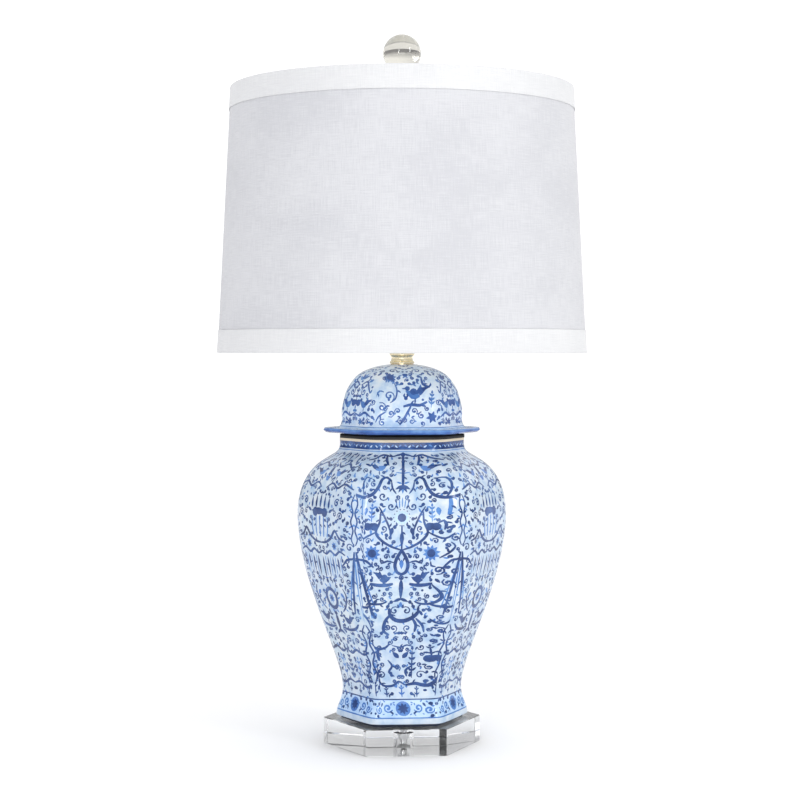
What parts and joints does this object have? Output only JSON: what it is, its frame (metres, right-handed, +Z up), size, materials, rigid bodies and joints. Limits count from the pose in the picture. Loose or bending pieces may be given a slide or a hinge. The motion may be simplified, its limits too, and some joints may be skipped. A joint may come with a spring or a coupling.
{
  "type": "table lamp",
  "caption": "Table lamp with a painted hexagonal lidded porcelain jar on a clear plinth, a tapered linen drum shade and a crystal ball finial.",
  "frame": {"origin": "centre of the clear plinth's underside, on the surface it stands on", "axes": "+Z up along the lamp's axis, -Y out of the front panel of the jar, +X to the right"},
  "size_m": [0.356, 0.356, 0.6831],
  "materials": {
    "porcelain": "clear gloss glaze over cobalt painting",
    "acrylic": "polished clear acrylic",
    "felt": "matt dark pad",
    "rubber": "satin",
    "steel": "zinc plated, satin",
    "brass": "polished",
    "nickel": "bright nickel",
    "black_plastic": "moulded",
    "paper": "brown card",
    "bulb_glass": "frosted inside",
    "clear_glass": "clear",
    "tungsten": "drawn wire",
    "linen": "plain weave",
    "trim": "smooth ribbon",
    "styrene": "satin translucent sheet",
    "white_paint": "white enamel",
    "crystal": "polished solid crystal"
  },
  "bodies": {
    "base": {"acrylic_plinth": "acrylic", "plinth_washer": "steel", "plinth_nut": "steel", "foot_pad": "felt", "jar_body": "porcelain", "cord_grommet": "rubber", "jar_lid": "porcelain", "lid_washer": "brass", "lamp_pipe": "steel", "brass_neck": "brass", "neck_sleeve": "brass", "harp_saddle": "brass", "socket_cap": "brass", "socket_shell": "brass", "socket_liner": "paper", "switch_body": "black_plastic", "screw_shell": "nickel", "center_contact": "brass"},
    "switch": {"switch_shaft": "steel", "switch_knob": "black_plastic"},
    "bulb": {"bulb_contact": "nickel", "bulb_insulator": "black_plastic", "bulb_cap": "nickel", "bulb_glass": "bulb_glass", "bulb_stem": "clear_glass", "bulb_filament": "tungsten"},
    "harp": {"harp_bow": "brass"},
    "ferrule_left": {"ferrule_left": "brass"},
    "ferrule_right": {"ferrule_right": "brass"},
    "harp_stud": {"harp_stud": "brass"},
    "shade": {"shade_spider": "white_paint", "shade_top_ring": "white_paint", "shade_bottom_ring": "white_paint", "shade_liner": "styrene", "shade_fabric": "linen", "shade_trim_top": "trim", "shade_trim_bottom": "trim"},
    "finial": {"finial_base": "brass", "finial_ball": "crystal"}
  },
  "joints": [
    {"name": "knob_turn", "type": "hinge", "parent": "base", "child": "switch", "pos_m": [0, -0.02, 0.4133], "axis": [0, -1, 0], "continuous": true},
    {"name": "bulb_turn", "type": "hinge", "parent": "base", "child": "bulb", "pos_m": [0, 0, 0.44], "axis": [0, 0, 1], "continuous": true},
    {"name": "harp_lift", "type": "slide", "parent": "base", "child": "harp", "axis": [0, 0, 1], "range_m": [0, 0.02]},
    {"name": "ferrule_left_slide", "type": "slide", "parent": "harp", "child": "ferrule_left", "axis": [0, 0, 1], "range_m": [0, 0.012]},
    {"name": "ferrule_right_slide", "type": "slide", "parent": "harp", "child": "ferrule_right", "axis": [0, 0, 1], "range_m": [0, 0.012]},
    {"name": "shade_swivel", "type": "hinge", "parent": "harp", "child": "harp_stud", "pos_m": [0, 0, 0.62], "axis": [0, 0, 1], "continuous": true},
    {"name": "shade_lift", "type": "slide", "parent": "harp_stud", "child": "shade", "axis": [0, 0, 1], "range_m": [0, 0.28]},
    {"name": "finial_turn", "type": "hinge", "parent": "shade", "child": "finial", "pos_m": [0, 0, 0.64], "axis": [0, 0, 1], "continuous": true}
  ]
}
